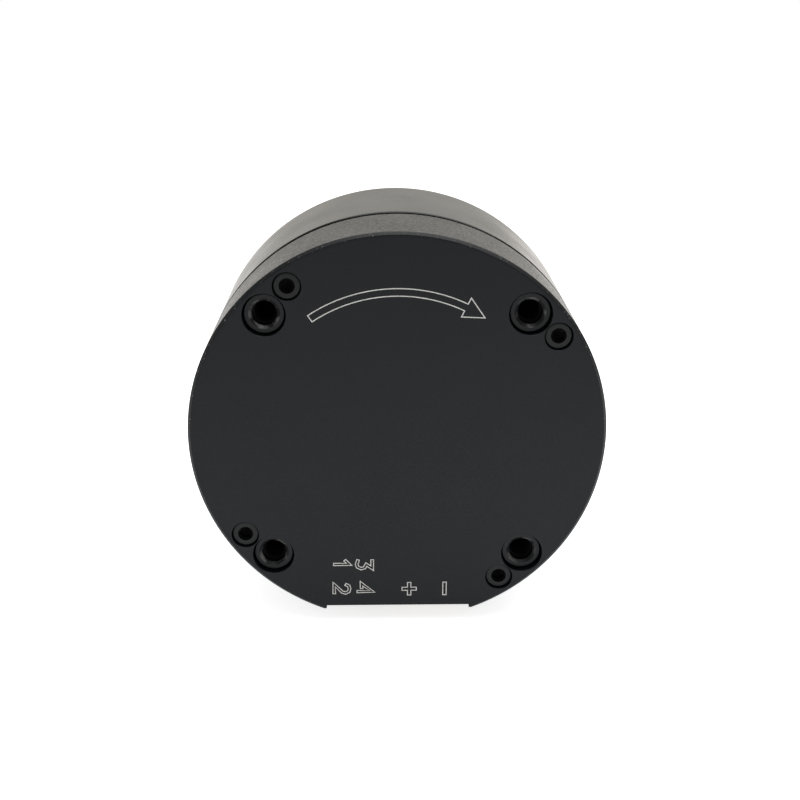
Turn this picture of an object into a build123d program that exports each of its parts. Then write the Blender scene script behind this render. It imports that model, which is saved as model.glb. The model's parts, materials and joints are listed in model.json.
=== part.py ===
from build123d import *
from math import cos, degrees, radians, sin, sqrt, tan
import os

# A direct drive servo motor. A fixed rear half holds the drive electronics and the stator,
# and a bell with the magnets turns round the stator and is the output.
# The motor's axis lies along Y: the rear face is at Y = 0 and the output face looks along +Y.
# X is to the right and Z is up for someone who looks at the rear face.
# A depth is a distance along +Y from the rear face. All sizes are in millimetres.

# Stator stack and the rotor round it
STACK_LENGTH = 15.0
AIR_GAP = 0.5
MAGNET_THICKNESS = 2.0
BACK_IRON_THICKNESS = 1.3
BELL_WALL = 1.2
BELL_PLATE = 3.0
EDGE_CHAMFER = 0.5
EDGE_BREAK = 0.2
COUNTERSINK_ANGLE = 90

# Stator teeth and coils
SLOT_COUNT = 24
TOOTH_WIDTH = 2.6
SLOT_DEPTH = 8.1
SLOT_OPENING = 1.8
SHOE_THICKNESS = 1.4
YOKE_THICKNESS = 3.5
END_TURN = 3.0
COIL_CLEARANCE = 0.55
COIL_SPACING = 0.4
LINER = 0.3
INSULATOR_THICKNESS = 0.6
INSULATOR_RIM = 0.9
COIL_CORNER = 0.8

# Magnet ring
MAGNET_COUNT = 28
MAGNET_SPACING = 0.8
MAGNET_OVERHANG = 0.75
IRON_RECESS = 1.0

# Rear cover
COVER_WALL = 1.3
COVER_PLATE = 2.2
COVER_CLEARANCE = 0.9
ROTOR_GAP = 1.7
LIP_GAP = 0.45
LIP_WALL = 1.0
PRONG_HEIGHT = 1.1
NOTCH_FILLET = 0.5

# Mounting posts and cover screws, placed in from the outside of the housing
POST_COUNT = 4
POST_EDGE = 4.6
POST_DIAMETER = 6.4
POST_HOLE = 7.1
POST_RECESS = 1.0
POST_THREAD = 3.3
POST_THREAD_MOUTH = 5.0
POST_THREAD_DEPTH = 9.0
SCREW_EDGE = 3.4
SCREW_TURN = 11.0
SCREW_DIAMETER = 2.5
SCREW_HEAD = 4.5
SCREW_HEAD_HEIGHT = 2.5
SCREW_COUNTERBORE = 4.7
SCREW_HEAD_ROUND = 0.35
SCREW_SINK = 0.5
SCREW_TIP_GAP = 0.4
SCREW_SOCKET = 2.0
SOCKET_DEPTH = 1.3
SCREW_FIT = 0.1
BOSS_WALL = 1.75

# Motor base and its bearing hub
BASE_PLATE = 2.9
BASE_FIT = 0.05
HUB_WALL = 4.0
SEAT_SHOULDER = 1.2
REAR_SEAT_DEPTH = 2.2
LEAD_HOLE = 2.8
LEAD_DIAMETER = 1.3
LEAD_STUB = 0.5
LEAD_COUNT = 3
LEAD_INSET = 2.0

# Bearings, both the same size
BEARING_BORE = 17.0
BEARING_SECTION = 4.5
BEARING_WIDTH = 5.0
RACE_THICKNESS = 1.5
BALL_DIAMETER = 2.6
BALL_COUNT = 12
BALL_CLEARANCE = 0.06
CAGE_CLEARANCE = 0.35
CAGE_WIDTH = 3.8
SHIELD_THICKNESS = 0.3
SHIELD_GAP = 0.35

# Shaft, its clip and the encoder magnet
SHAFT_BORE = 12.0
SHAFT_COLLAR = 0.5
COLLAR_STEP = 1.1
FLANGE_MARGIN = 2.05
FLANGE_THICKNESS = 2.4
SPIGOT_DIAMETER = 14.0
SPIGOT_HEIGHT = 0.8
CLIP_THICKNESS = 1.0
CLIP_GROOVE = 0.5
CLIP_WIDTH = 1.9
CLIP_EAR = 1.3
CLIP_OPENING = 4.4
SHIM_THICKNESS = 0.4
SHIM_WIDTH = 1.0
SHAFT_TAIL = 0.5
ENCODER_MAGNET_DIAMETER = 6.0
ENCODER_MAGNET_LENGTH = 2.5
HOLDER_LENGTH = 4.0

# Output face
PILOT_DIAMETER = 30.0
PILOT_DEPTH = 1.0
OUTPUT_CIRCLE = 46.0
OUTPUT_HOLE_COUNT = 6
OUTPUT_THREAD = 2.5
OUTPUT_THREAD_MOUTH = 3.2
ROTOR_SCREW_CIRCLE = 21.4
ROTOR_SCREW_COUNT = 6
ROTOR_SCREW_LENGTH = 4.0
ROTOR_SCREW_HEAD = 4.7
ROTOR_SCREW_HEAD_HEIGHT = 1.1
ROTOR_SCREW_SOCKET = 1.5
ROTOR_SOCKET_DEPTH = 0.8

# Drive board
BOARD_THICKNESS = 1.6
BOARD_PILLAR = 1.4
BOARD_EDGE = 2.7
BOARD_RELIEF = 0.5
PILLAR_DIAMETER = 4.8
BOARD_SCREW_DIAMETER = 2.0
BOARD_SCREW_HEAD = 3.8
BOARD_SCREW_HEAD_HEIGHT = 1.3
BOARD_SCREW_LENGTH = 4.0
BOARD_SCREW_EDGE = 3.5
BOARD_SCREW_ANGLE = 20.0

# Parts on the drive board: length along X, length along Z, height off the board
TRANSISTOR = (5.0, 6.0, 1.0)
TRANSISTOR_PITCH_X = 8.0
TRANSISTOR_PITCH_Z = 7.0
TRANSISTOR_GAP = 2.85
SHUNT = (6.3, 3.2, 0.6)
SHUNT_Z = 6.5
CONTROLLER_CHIP = (7.0, 7.0, 1.0)
CONTROLLER_PLACE = (0.0, -3.5)
GATE_DRIVER = (5.0, 5.0, 0.9)
GATE_DRIVER_PLACE = (-9.0, -3.0)
LINE_CHIP = (4.9, 3.9, 1.5)
LINE_CHIP_PLACES = ((-9.0, -14.0), (-17.0, -9.0))
ENCODER_CHIP = (4.9, 3.9, 0.9)
CRYSTAL = (3.2, 2.5, 0.8)
CRYSTAL_PLACE = (7.0, -8.0)
INDUCTOR = (5.0, 5.0, 3.0)
INDUCTOR_INSET = 14.0
INDUCTOR_Z = 4.0
INDUCTOR_CORNER = 1.0
CAPACITOR_DIAMETER = 6.3
CAPACITOR_HEIGHT = 5.4
CAPACITOR_FOOT = 6.6
CAPACITOR_FOOT_HEIGHT = 0.8
CAPACITOR_CHAMFER = 0.4
CAPACITOR_INSETS = ((15.8, 3.6), (15.8, -4.2), (8.4, -0.3))
PAD_THICKNESS = 1.0
PAD_MARGIN = 0.5

# Connectors in the notch: width, height off the board, length into the motor
CONNECTOR_SPACING = 2.5
POWER_SHELL = (10.2, 5.4, 11.0)
POWER_MARGIN = 2.3
POWER_SHELL_WALL = 0.8
POWER_CAVITY_DEPTH = 7.5
POWER_CHAMFER = 1.6
POWER_PIN_DIAMETER = 2.0
POWER_PIN_PITCH = 5.0
POWER_MOUTH_INSET = 0.3
SIGNAL_SHELL = (9.8, 4.8, 7.6)
SIGNAL_MARGIN = 0.2
SIGNAL_SHELL_WALL = 0.7
SIGNAL_CAVITY_DEPTH = 6.2
SIGNAL_PIN = 0.5
SIGNAL_PIN_PITCH = 2.0
SIGNAL_PIN_COUNT = 4
SIGNAL_MOUTH_INSET = 0.8
SIGNAL_KEY_WIDTH = 1.2
PIN_INSET = 0.8
PIN_TAIL = 1.0

# Radii that follow from those sizes, from the shaft outward
shaft_r = BEARING_BORE / 2
seat_r = shaft_r + BEARING_SECTION
hub_r = seat_r + HUB_WALL
yoke_r = hub_r + YOKE_THICKNESS
shoe_r = yoke_r + SLOT_DEPTH
stator_r = shoe_r + SHOE_THICKNESS
magnet_inner_r = stator_r + AIR_GAP
iron_inner_r = magnet_inner_r + MAGNET_THICKNESS
bell_inner_r = iron_inner_r + BACK_IRON_THICKNESS
housing_r = bell_inner_r + BELL_WALL
cover_inner_r = housing_r - COVER_WALL
base_r = cover_inner_r - BASE_FIT
lip_r = bell_inner_r - LIP_GAP
flange_r = ROTOR_SCREW_CIRCLE / 2 + SCREW_DIAMETER / 2 + FLANGE_MARGIN
post_r = housing_r - POST_EDGE
screw_r = housing_r - SCREW_EDGE
boss_r = SCREW_DIAMETER / 2 + BOSS_WALL
board_r = cover_inner_r - BOARD_EDGE
coil_foot_r = yoke_r + LINER
coil_top_r = shoe_r - 2 * LINER
lead_r = coil_top_r - LEAD_INSET

# The notch is as wide as its two connectors need, and its flat leaves a prong at each end
notch_width = SIGNAL_MARGIN + SIGNAL_SHELL[0] + CONNECTOR_SPACING + POWER_SHELL[0] + POWER_MARGIN
signal_x = SIGNAL_MARGIN + SIGNAL_SHELL[0] / 2 - notch_width / 2
power_x = notch_width / 2 - POWER_MARGIN - POWER_SHELL[0] / 2
notch_z = PRONG_HEIGHT - sqrt(housing_r**2 - (notch_width / 2) ** 2)

# Depths that follow from those sizes, from the rear face forward
board_rear = COVER_PLATE + COVER_CLEARANCE + max(POWER_SHELL[1], SIGNAL_SHELL[1], CAPACITOR_HEIGHT)
board_front = board_rear + BOARD_THICKNESS
base_rear = board_front + BOARD_PILLAR
base_front = base_rear + BASE_PLATE
bell_rear = base_front + ROTOR_GAP
lip_front = bell_rear + IRON_RECESS - LIP_GAP
coil_rear = base_front + COIL_CLEARANCE
stack_rear = coil_rear + END_TURN
stack_front = stack_rear + STACK_LENGTH
coil_front = stack_front + END_TURN
bell_inside = coil_front + COIL_CLEARANCE
output_face = bell_inside + BELL_PLATE
pilot_floor = output_face - PILOT_DEPTH
flange_rear = bell_inside - FLANGE_THICKNESS
hub_front = flange_rear - SHAFT_COLLAR
front_bearing_rear = hub_front - BEARING_WIDTH
rear_bearing_rear = base_rear + REAR_SEAT_DEPTH
rear_bearing_front = rear_bearing_rear + BEARING_WIDTH
shim_rear = rear_bearing_rear - SHIM_THICKNESS
clip_rear = shim_rear - CLIP_THICKNESS
shaft_rear = clip_rear - SHAFT_TAIL
head_rear = SCREW_SINK
head_front = SCREW_SINK + SCREW_HEAD_HEIGHT
screw_tip = base_front - SCREW_TIP_GAP
pad_rear = board_rear - TRANSISTOR[2] - PAD_THICKNESS

# Angles, in degrees round the axis from the right-hand side
slot_angle = 360 / SLOT_COUNT
shoe_sweep = slot_angle - degrees(SLOT_OPENING / shoe_r)
magnet_sweep = 360 / MAGNET_COUNT - degrees(MAGNET_SPACING / iron_inner_r)
post_start = 45.0
screw_start = post_start - SCREW_TURN
lead_start = 90 - slot_angle
lead_span = 2 * slot_angle

# Places on the board: its screws at the corners of a rectangle, the transistors below the leads,
# the capacitors in from its right edge and the inductor in from its left edge
board_screw_x = (board_r - BOARD_SCREW_EDGE) * cos(radians(BOARD_SCREW_ANGLE))
board_screw_z = (board_r - BOARD_SCREW_EDGE) * sin(radians(BOARD_SCREW_ANGLE))
board_screw_places = [(side * board_screw_x, level * board_screw_z) for side in (-1, 1) for level in (-1, 1)]
transistor_field = (2 * TRANSISTOR_PITCH_X + TRANSISTOR[0], TRANSISTOR_PITCH_Z + TRANSISTOR[1])
transistor_z = lead_r - LEAD_DIAMETER / 2 - TRANSISTOR_GAP - transistor_field[1] / 2
capacitor_places = [(board_r - inset, place_z) for inset, place_z in CAPACITOR_INSETS]
inductor_place = (INDUCTOR_INSET - board_r, INDUCTOR_Z)


def rear_view(depth):
    """The plane at a depth, as seen from behind: X right, Z up. A negative extrusion goes forward."""
    return Plane.XZ.offset(-depth)


def front_view(depth):
    """The plane at a depth, as seen from the output side. A negative extrusion goes to the rear."""
    return Plane(origin=(0, depth, 0), x_dir=(-1, 0, 0), z_dir=(0, 1, 0))


def mouth_view(centre_x, centre_depth, mouth_z):
    """The plane of a connector's mouth, which looks down out of the notch."""
    return Plane(origin=(centre_x, centre_depth, mouth_z), x_dir=(1, 0, 0), z_dir=(0, 0, -1))


def ring(inner, outer, rear, front, mode=Mode.ADD):
    """A plain ring round the motor's axis between two depths, or a disc where inner is 0."""
    with BuildSketch(rear_view(rear)) as outline:
        Circle(outer)
        if inner > 0:
            Circle(inner, mode=Mode.SUBTRACT)
    extrude(outline.sketch, amount=rear - front, mode=mode)


def ring_sector(inner, outer, sweep):
    """A flat sector of a ring, centred on the sketch's first axis."""
    with BuildSketch() as sector:
        with BuildLine():
            outside = CenterArc((0, 0), outer, -sweep / 2, sweep)
            inside = CenterArc((0, 0), inner, -sweep / 2, sweep)
            Line(outside @ 0, inside @ 0)
            Line(outside @ 1, inside @ 1)
        make_face()
    return sector.sketch


os.makedirs("parts", exist_ok=True)


# Rear cover: a cup with the connector notch, clearance holes for the posts and sunk screw seats
with BuildPart() as rear_cover:
    with BuildSketch(Plane.XY):
        with BuildLine():
            Polyline(
                (0, 0),
                (housing_r - EDGE_CHAMFER, 0),
                (housing_r, EDGE_CHAMFER),
                (housing_r, base_front - EDGE_BREAK),
                (housing_r - EDGE_BREAK, base_front),
                (cover_inner_r, base_front),
                (cover_inner_r, COVER_PLATE),
                (0, COVER_PLATE),
                close=True,
            )
        make_face()
    revolve(axis=Axis.Y)
    with BuildSketch(rear_view(COVER_PLATE)):
        with PolarLocations(screw_r, POST_COUNT, start_angle=screw_start):
            Circle(boss_r)
    extrude(amount=COVER_PLATE - base_rear)
    # The pedestal carries the transistors' heat into the cover through the pad.
    pad_length = transistor_field[0] + 2 * PAD_MARGIN
    pad_height = transistor_field[1] + 2 * PAD_MARGIN
    with BuildSketch(rear_view(COVER_PLATE)):
        with Locations((0, transistor_z)):
            Rectangle(pad_length, pad_height)
    extrude(amount=COVER_PLATE - pad_rear)
    with Locations(rear_view(0)):
        with PolarLocations(post_r, POST_COUNT, start_angle=post_start):
            Hole(POST_HOLE / 2)
        with PolarLocations(screw_r, POST_COUNT, start_angle=screw_start):
            CounterBoreHole(SCREW_DIAMETER / 2 + SCREW_FIT, SCREW_COUNTERBORE / 2, head_front)
    # The notch crosses the plate as a flat, and in front of the plate it opens the whole wall.
    for cut_rear, cut_top in ((0, notch_z), (COVER_PLATE, notch_z + COVER_WALL)):
        with BuildSketch(rear_view(cut_rear)):
            with Locations((0, cut_top)):
                Rectangle(notch_width, housing_r, align=(Align.CENTER, Align.MAX))
        extrude(amount=cut_rear - base_front, mode=Mode.SUBTRACT)
    prong_corners = edges().filter_by(Axis.Y).group_by(Axis.Z)[0]
    fillet(prong_corners, NOTCH_FILLET)
rear_cover.part.label = "rear_cover"
export_step(rear_cover.part, "parts/rear_cover.step")


# Motor base: the plate that closes the cover, the tapped posts and the hub for both bearings
with BuildPart() as motor_base:
    ring(0, base_r, base_rear, base_front)
    ring(0, hub_r, base_front, hub_front)
    # The lip stands in the bell's mouth and keeps dust out of the coils.
    ring(lip_r - LIP_WALL, lip_r, base_front, lip_front)
    with BuildSketch(rear_view(POST_RECESS)):
        with PolarLocations(post_r, POST_COUNT, start_angle=post_start):
            Circle(POST_DIAMETER / 2)
    extrude(amount=POST_RECESS - base_rear)
    with BuildSketch(rear_view(board_front)):
        with Locations(*board_screw_places):
            Circle(PILLAR_DIAMETER / 2)
    extrude(amount=board_front - base_rear)
    ring(0, seat_r - SEAT_SHOULDER, base_rear, hub_front, mode=Mode.SUBTRACT)
    ring(0, seat_r, base_rear, rear_bearing_front, mode=Mode.SUBTRACT)
    ring(0, seat_r, front_bearing_rear, hub_front, mode=Mode.SUBTRACT)
    with Locations(rear_view(POST_RECESS)):
        with PolarLocations(post_r, POST_COUNT, start_angle=post_start):
            CounterSinkHole(POST_THREAD / 2, POST_THREAD_MOUTH / 2, POST_THREAD_DEPTH, COUNTERSINK_ANGLE)
    with Locations(rear_view(base_rear)):
        with PolarLocations(screw_r, POST_COUNT, start_angle=screw_start):
            Hole(SCREW_DIAMETER / 2, BASE_PLATE)
        with PolarLocations(lead_r, LEAD_COUNT, lead_start, lead_span, endpoint=True):
            Hole(LEAD_HOLE / 2, BASE_PLATE)
    with Locations(rear_view(board_front)):
        with Locations(*board_screw_places):
            Hole(BOARD_SCREW_DIAMETER / 2, BOARD_SCREW_LENGTH - BOARD_THICKNESS)
motor_base.part.label = "motor_base"
export_step(motor_base.part, "parts/motor_base.step")


# Cover screws: socket cap screws sunk in the rear face
with BuildPart() as cover_screws:
    with BuildSketch(rear_view(head_rear)):
        with PolarLocations(screw_r, POST_COUNT, start_angle=screw_start):
            Circle(SCREW_HEAD / 2)
    extrude(amount=-SCREW_HEAD_HEIGHT)
    fillet(edges().group_by(Axis.Y)[0], SCREW_HEAD_ROUND)
    with BuildSketch(rear_view(head_front)):
        with PolarLocations(screw_r, POST_COUNT, start_angle=screw_start):
            Circle(SCREW_DIAMETER / 2)
    extrude(amount=head_front - screw_tip)
    with BuildSketch(rear_view(head_rear)):
        with PolarLocations(screw_r, POST_COUNT, start_angle=screw_start):
            RegularPolygon(SCREW_SOCKET / 2, 6, major_radius=False)
    extrude(amount=-SOCKET_DEPTH, mode=Mode.SUBTRACT)
cover_screws.part.label = "cover_screws"
export_step(cover_screws.part, "parts/cover_screws.step")


# Stator core: one lamination's outline, with a shoe on each tooth, over the stack's length
with BuildPart() as stator_core:
    with BuildSketch(rear_view(stack_rear)):
        Circle(yoke_r)
        with PolarLocations((yoke_r + shoe_r) / 2, SLOT_COUNT):
            Rectangle(shoe_r - yoke_r + SHOE_THICKNESS, TOOTH_WIDTH)
        with PolarLocations(0, SLOT_COUNT):
            add(ring_sector(shoe_r, stator_r, slot_angle - degrees(SLOT_OPENING / stator_r)))
        Circle(hub_r, mode=Mode.SUBTRACT)
    extrude(amount=-STACK_LENGTH)
stator_core.part.label = "stator_core"
export_step(stator_core.part, "parts/stator_core.step")


# Slot insulators: a thin star over each end of the stack, with rims that hold the coils in
rim_height = END_TURN - COIL_CLEARANCE
for side, end_depth, reach in (("rear", stack_rear, 1), ("front", stack_front, -1)):
    with BuildPart() as insulator:
        with BuildSketch(rear_view(end_depth)) as star:
            Circle(yoke_r)
            with PolarLocations((yoke_r + shoe_r) / 2, SLOT_COUNT):
                Rectangle(shoe_r - yoke_r + INSULATOR_RIM, TOOTH_WIDTH + 2 * LINER)
            with PolarLocations(0, SLOT_COUNT):
                add(ring_sector(shoe_r, shoe_r + INSULATOR_RIM, shoe_sweep))
            Circle(hub_r, mode=Mode.SUBTRACT)
        extrude(star.sketch, amount=reach * INSULATOR_THICKNESS)
        with BuildSketch(rear_view(end_depth)) as rims:
            with PolarLocations(0, SLOT_COUNT):
                add(ring_sector(shoe_r, shoe_r + INSULATOR_RIM, shoe_sweep))
            Circle(yoke_r)
            Circle(yoke_r - INSULATOR_RIM, mode=Mode.SUBTRACT)
        extrude(rims.sketch, amount=reach * rim_height)
    insulator.part.label = f"{side}_slot_insulator"
    export_step(insulator.part, f"parts/{side}_slot_insulator.step")


# Coils: one round each tooth, wider towards the air gap as the slot is
window_length = STACK_LENGTH + 2 * INSULATOR_THICKNESS
stack_middle = (stack_rear + stack_front) / 2
foot_share = (coil_foot_r * tan(radians(slot_angle / 2)) - COIL_SPACING / 2) / (
    coil_top_r * tan(radians(slot_angle / 2)) - COIL_SPACING / 2
)
with BuildPart() as one_coil:
    for level, share in ((coil_foot_r, foot_share), (coil_top_r, 1.0)):
        with BuildSketch(Plane(origin=(0, stack_middle, level), x_dir=(1, 0, 0), z_dir=(0, 0, 1))):
            RectangleRounded(
                2 * level * tan(radians(slot_angle / 2)) - COIL_SPACING,
                window_length + 2 * share * (END_TURN - INSULATOR_THICKNESS),
                COIL_CORNER,
            )
    loft()
    with BuildSketch(Plane(origin=(0, stack_middle, coil_foot_r), x_dir=(1, 0, 0), z_dir=(0, 0, 1))):
        Rectangle(TOOTH_WIDTH + 2 * LINER, window_length)
    extrude(amount=coil_top_r - coil_foot_r, mode=Mode.SUBTRACT)
with BuildPart() as stator_coils:
    for step in range(SLOT_COUNT):
        add(one_coil.part.rotate(Axis.Y, step * slot_angle))
stator_coils.part.label = "stator_coils"
export_step(stator_coils.part, "parts/stator_coils.step")


# Phase leads: three stubs from the coils straight back through the base into the board
with BuildPart() as phase_leads:
    with BuildSketch(rear_view(board_rear - LEAD_STUB)):
        with PolarLocations(lead_r, LEAD_COUNT, lead_start, lead_span, endpoint=True):
            Circle(LEAD_DIAMETER / 2)
    extrude(amount=board_rear - LEAD_STUB - coil_rear)
phase_leads.part.label = "phase_leads"
export_step(phase_leads.part, "parts/phase_leads.step")


# Bearings: two deep groove ball bearings, each with races, cage, balls and shields
ball_circle_r = (shaft_r + seat_r) / 2
inner_race_r = shaft_r + RACE_THICKNESS
outer_race_r = seat_r - RACE_THICKNESS
cage_inner_r = inner_race_r + CAGE_CLEARANCE
cage_outer_r = outer_race_r - CAGE_CLEARANCE
groove_r = BALL_DIAMETER / 2 + BALL_CLEARANCE
for side, race_rear in (("rear", rear_bearing_rear), ("front", front_bearing_rear)):
    race_front = race_rear + BEARING_WIDTH
    race_middle = race_rear + BEARING_WIDTH / 2
    with BuildPart() as outer_race:
        ring(outer_race_r, seat_r, race_rear, race_front)
        with Locations(Plane(origin=(0, race_middle, 0), z_dir=(0, 1, 0))):
            Torus(ball_circle_r, groove_r, mode=Mode.SUBTRACT)
    outer_race.part.label = f"{side}_bearing_outer_race"
    export_step(outer_race.part, f"parts/{side}_bearing_outer_race.step")
    with BuildPart() as inner_race:
        ring(shaft_r, inner_race_r, race_rear, race_front)
        with Locations(Plane(origin=(0, race_middle, 0), z_dir=(0, 1, 0))):
            Torus(ball_circle_r, groove_r, mode=Mode.SUBTRACT)
    inner_race.part.label = f"{side}_bearing_inner_race"
    export_step(inner_race.part, f"parts/{side}_bearing_inner_race.step")
    with BuildPart() as balls:
        with Locations(rear_view(race_middle)):
            with PolarLocations(ball_circle_r, BALL_COUNT):
                Sphere(BALL_DIAMETER / 2)
    balls.part.label = f"{side}_bearing_balls"
    export_step(balls.part, f"parts/{side}_bearing_balls.step")
    with BuildPart() as cage:
        cage_rear = race_middle - CAGE_WIDTH / 2
        ring(cage_inner_r, cage_outer_r, cage_rear, cage_rear + CAGE_WIDTH)
        with Locations(rear_view(race_middle)):
            with PolarLocations(ball_circle_r, BALL_COUNT):
                Cylinder(groove_r, BEARING_WIDTH, rotation=(0, 90, 0), mode=Mode.SUBTRACT)
    cage.part.label = f"{side}_bearing_cage"
    export_step(cage.part, f"parts/{side}_bearing_cage.step")
    with BuildPart() as shields:
        for shield_rear in (race_rear, race_front - SHIELD_THICKNESS):
            ring(inner_race_r + SHIELD_GAP, outer_race_r, shield_rear, shield_rear + SHIELD_THICKNESS)
    shields.part.label = f"{side}_bearing_shields"
    export_step(shields.part, f"parts/{side}_bearing_shields.step")


# Shaft: a hollow journal for both bearings, with the flange that carries the bell
with BuildPart() as shaft:
    ring(SHAFT_BORE / 2, shaft_r, shaft_rear, flange_rear)
    ring(SHAFT_BORE / 2, shaft_r + COLLAR_STEP, hub_front, flange_rear)
    ring(0, flange_r, flange_rear, bell_inside)
    ring(0, SPIGOT_DIAMETER / 2, bell_inside, bell_inside + SPIGOT_HEIGHT)
    ring(shaft_r - CLIP_GROOVE, shaft_r + CLIP_GROOVE, clip_rear, shim_rear, mode=Mode.SUBTRACT)
    with Locations(front_view(bell_inside)):
        with PolarLocations(ROTOR_SCREW_CIRCLE / 2, ROTOR_SCREW_COUNT):
            Hole(SCREW_DIAMETER / 2, FLANGE_THICKNESS)
shaft.part.label = "shaft"
export_step(shaft.part, "parts/shaft.step")


# Shaft clip: an open ring in the shaft's groove, with two eared ends for the pliers
clip_inner_r = shaft_r - CLIP_GROOVE
clip_outer_r = clip_inner_r + CLIP_WIDTH
ear_turn = degrees((CLIP_OPENING / 2 + CLIP_EAR / 2) / clip_outer_r)
with BuildPart() as shaft_clip:
    with BuildSketch(rear_view(clip_rear)):
        Circle(clip_outer_r)
        with PolarLocations(clip_outer_r, 2, -90 - ear_turn, 2 * ear_turn, endpoint=True):
            Circle(CLIP_EAR)
        Circle(clip_inner_r, mode=Mode.SUBTRACT)
        with Locations((0, -clip_outer_r)):
            Rectangle(CLIP_OPENING / 2, 4 * CLIP_WIDTH, mode=Mode.SUBTRACT)
        with PolarLocations(clip_outer_r, 2, -90 - ear_turn, 2 * ear_turn, endpoint=True):
            Circle(CLIP_EAR / 2, mode=Mode.SUBTRACT)
    extrude(amount=-CLIP_THICKNESS)
shaft_clip.part.label = "shaft_clip"
export_step(shaft_clip.part, "parts/shaft_clip.step")

with BuildPart() as preload_shim:
    ring(shaft_r, shaft_r + SHIM_WIDTH, shim_rear, rear_bearing_rear)
preload_shim.part.label = "preload_shim"
export_step(preload_shim.part, "parts/preload_shim.step")


# Encoder magnet and the plug that holds it in the shaft's rear end
with BuildPart() as magnet_holder:
    ring(0, SHAFT_BORE / 2, shaft_rear, shaft_rear + HOLDER_LENGTH)
    ring(0, ENCODER_MAGNET_DIAMETER / 2, shaft_rear, shaft_rear + ENCODER_MAGNET_LENGTH, mode=Mode.SUBTRACT)
magnet_holder.part.label = "magnet_holder"
export_step(magnet_holder.part, "parts/magnet_holder.step")

with BuildPart() as encoder_magnet:
    ring(0, ENCODER_MAGNET_DIAMETER / 2, shaft_rear, shaft_rear + ENCODER_MAGNET_LENGTH)
encoder_magnet.part.label = "encoder_magnet"
export_step(encoder_magnet.part, "parts/encoder_magnet.step")


# Rotor bell: the turning cup, with the output pattern and the pilot recess on its face
with BuildPart() as rotor_bell:
    with BuildSketch(Plane.XY):
        with BuildLine():
            Polyline(
                (0, bell_inside),
                (bell_inner_r, bell_inside),
                (bell_inner_r, bell_rear),
                (housing_r - EDGE_BREAK, bell_rear),
                (housing_r, bell_rear + EDGE_BREAK),
                (housing_r, output_face - EDGE_CHAMFER),
                (housing_r - EDGE_CHAMFER, output_face),
                (PILOT_DIAMETER / 2, output_face),
                (PILOT_DIAMETER / 2, pilot_floor),
                (0, pilot_floor),
                close=True,
            )
        make_face()
    revolve(axis=Axis.Y)
    ring(0, SPIGOT_DIAMETER / 2, bell_inside, bell_inside + SPIGOT_HEIGHT, mode=Mode.SUBTRACT)
    with Locations(front_view(output_face)):
        with PolarLocations(OUTPUT_CIRCLE / 2, OUTPUT_HOLE_COUNT):
            CounterSinkHole(OUTPUT_THREAD / 2, OUTPUT_THREAD_MOUTH / 2, BELL_PLATE, COUNTERSINK_ANGLE)
    with BuildSketch(front_view(pilot_floor)) as screw_mouths:
        with PolarLocations(ROTOR_SCREW_CIRCLE / 2, ROTOR_SCREW_COUNT):
            Circle(ROTOR_SCREW_HEAD / 2)
    with BuildSketch(front_view(pilot_floor - ROTOR_SCREW_HEAD_HEIGHT)) as screw_necks:
        with PolarLocations(ROTOR_SCREW_CIRCLE / 2, ROTOR_SCREW_COUNT):
            Circle(SCREW_DIAMETER / 2)
    for wide, narrow in zip(screw_mouths.sketch.faces(), screw_necks.sketch.faces()):
        loft([wide, narrow], mode=Mode.SUBTRACT)
    extrude(screw_necks.sketch, amount=-BELL_PLATE, mode=Mode.SUBTRACT)
rotor_bell.part.label = "rotor_bell"
export_step(rotor_bell.part, "parts/rotor_bell.step")


# Rotor screws: countersunk screws through the bell into the shaft's flange
with BuildPart() as rotor_screws:
    for wide, narrow in zip(screw_mouths.sketch.faces(), screw_necks.sketch.faces()):
        loft([wide, narrow])
    extrude(screw_necks.sketch, amount=ROTOR_SCREW_HEAD_HEIGHT - ROTOR_SCREW_LENGTH)
    with BuildSketch(front_view(pilot_floor)):
        with PolarLocations(ROTOR_SCREW_CIRCLE / 2, ROTOR_SCREW_COUNT):
            RegularPolygon(ROTOR_SCREW_SOCKET / 2, 6, major_radius=False)
    extrude(amount=-ROTOR_SOCKET_DEPTH, mode=Mode.SUBTRACT)
rotor_screws.part.label = "rotor_screws"
export_step(rotor_screws.part, "parts/rotor_screws.step")


# Back iron and magnets
with BuildPart() as back_iron_ring:
    ring(iron_inner_r, bell_inner_r, bell_rear + IRON_RECESS, bell_inside)
back_iron_ring.part.label = "back_iron_ring"
export_step(back_iron_ring.part, "parts/back_iron_ring.step")

with BuildPart() as rotor_magnets:
    with BuildSketch(rear_view(stack_rear - MAGNET_OVERHANG)):
        with PolarLocations(0, MAGNET_COUNT):
            add(ring_sector(magnet_inner_r, iron_inner_r, magnet_sweep))
    extrude(amount=-(STACK_LENGTH + 2 * MAGNET_OVERHANG))
rotor_magnets.part.label = "rotor_magnets"
export_step(rotor_magnets.part, "parts/rotor_magnets.step")


# Drive board, cut away round the posts and the screw bosses
with BuildPart() as drive_board:
    with BuildSketch(rear_view(board_rear)):
        Circle(board_r)
        with PolarLocations(post_r, POST_COUNT, start_angle=post_start):
            Circle(POST_DIAMETER / 2 + BOARD_RELIEF, mode=Mode.SUBTRACT)
        with PolarLocations(screw_r, POST_COUNT, start_angle=screw_start):
            Circle(boss_r + BOARD_RELIEF, mode=Mode.SUBTRACT)
        with Locations(*board_screw_places):
            Circle(BOARD_SCREW_DIAMETER / 2, mode=Mode.SUBTRACT)
        with PolarLocations(lead_r, LEAD_COUNT, lead_start, lead_span, endpoint=True):
            Circle(LEAD_DIAMETER / 2, mode=Mode.SUBTRACT)
    extrude(amount=-BOARD_THICKNESS)
drive_board.part.label = "drive_board"
export_step(drive_board.part, "parts/drive_board.step")

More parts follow.
